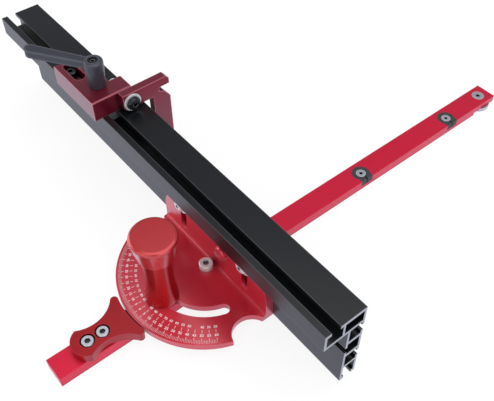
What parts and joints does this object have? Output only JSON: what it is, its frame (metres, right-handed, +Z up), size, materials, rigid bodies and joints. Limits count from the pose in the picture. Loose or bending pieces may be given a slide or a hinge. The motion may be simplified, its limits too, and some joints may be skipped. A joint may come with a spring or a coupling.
{
  "type": "miter gauge",
  "caption": "Table saw miter gauge: guide bar with expansion discs, swinging protractor head, clamping handle, slotted fence and flip stop with a lever.",
  "frame": {"origin": "on the head's pivot axis at the underside of the guide bar", "axes": "+Y along the guide bar away from the user, +X to the user's right along the fence, +Z up, square to the table"},
  "size_m": [0.4, 0.4503, 0.129],
  "materials": {
    "bar_red": "bright crimson anodised",
    "head_red": "satin red anodised",
    "deep_red": "satin deep red anodised",
    "stop_red": "satin dark red anodised",
    "fence_black": "satin black anodised, with bright cut ends",
    "lever_grey": "fine textured dark grey",
    "disc_black": "matte black",
    "steel": "bright zinc plated",
    "dark_steel": "black oxide"
  },
  "bodies": {
    "base": {"bar": "bar_red", "expansion_disc_near": "disc_black", "expansion_disc_far": "disc_black", "disc_screw_near": "steel", "disc_screw_far": "steel", "end_washer": "steel", "end_washer_screw": "steel", "pointer_plate": "deep_red", "pointer_screw_front": "steel", "pointer_screw_rear": "steel", "pivot_screw": "steel"},
    "head": {"protractor_head": "head_red", "flange_peg": "head_red"},
    "carriage": {"flange_screw_left": "steel", "flange_screw_right": "steel", "flange_washer_left": "steel", "flange_washer_right": "steel", "slot_nut_left": "steel", "slot_nut_right": "steel"},
    "handle": {"handle_knob": "head_red", "handle_stud": "steel"},
    "fence_body": {"fence": "fence_black"},
    "stop": {"stop_block": "stop_red", "stop_nut": "steel", "stop_pocket_screw": "steel", "arm_screw": "dark_steel", "arm_washer": "steel", "arm_nut": "steel"},
    "lever": {"stop_lever": "lever_grey", "lever_stud": "dark_steel", "lever_screw": "dark_steel"},
    "arm": {"stop_arm": "stop_red"}
  },
  "joints": [
    {"name": "head_swing", "type": "hinge", "parent": "base", "child": "head", "pos_m": [0, 0, 0.012], "axis": [0, 0, 1], "range_deg": [-53, 53]},
    {"name": "handle_turn", "type": "hinge", "parent": "base", "child": "handle", "pos_m": [0, -0.0391, 0.015], "axis": [0, 0, 1], "range_deg": [-180, 180]},
    {"name": "fence_lift", "type": "slide", "parent": "head", "child": "carriage", "axis": [0, 0, 1], "range_m": [0, 0.003]},
    {"name": "fence_slide", "type": "slide", "parent": "carriage", "child": "fence_body", "axis": [1, 0, 0], "range_m": [-0.08, 0.23]},
    {"name": "stop_slide", "type": "slide", "parent": "fence_body", "child": "stop", "axis": [1, 0, 0], "range_m": [-0.105, 0.225]},
    {"name": "lever_turn", "type": "hinge", "parent": "stop", "child": "lever", "pos_m": [-0.1287, 0.0021, 0.1016], "axis": [0, 0, 1], "range_deg": [-90, 45]},
    {"name": "arm_flip", "type": "hinge", "parent": "stop", "child": "arm", "pos_m": [-0.10875, 0.01598, 0.0932], "axis": [1, 0, 0], "range_deg": [0, 90]}
  ]
}
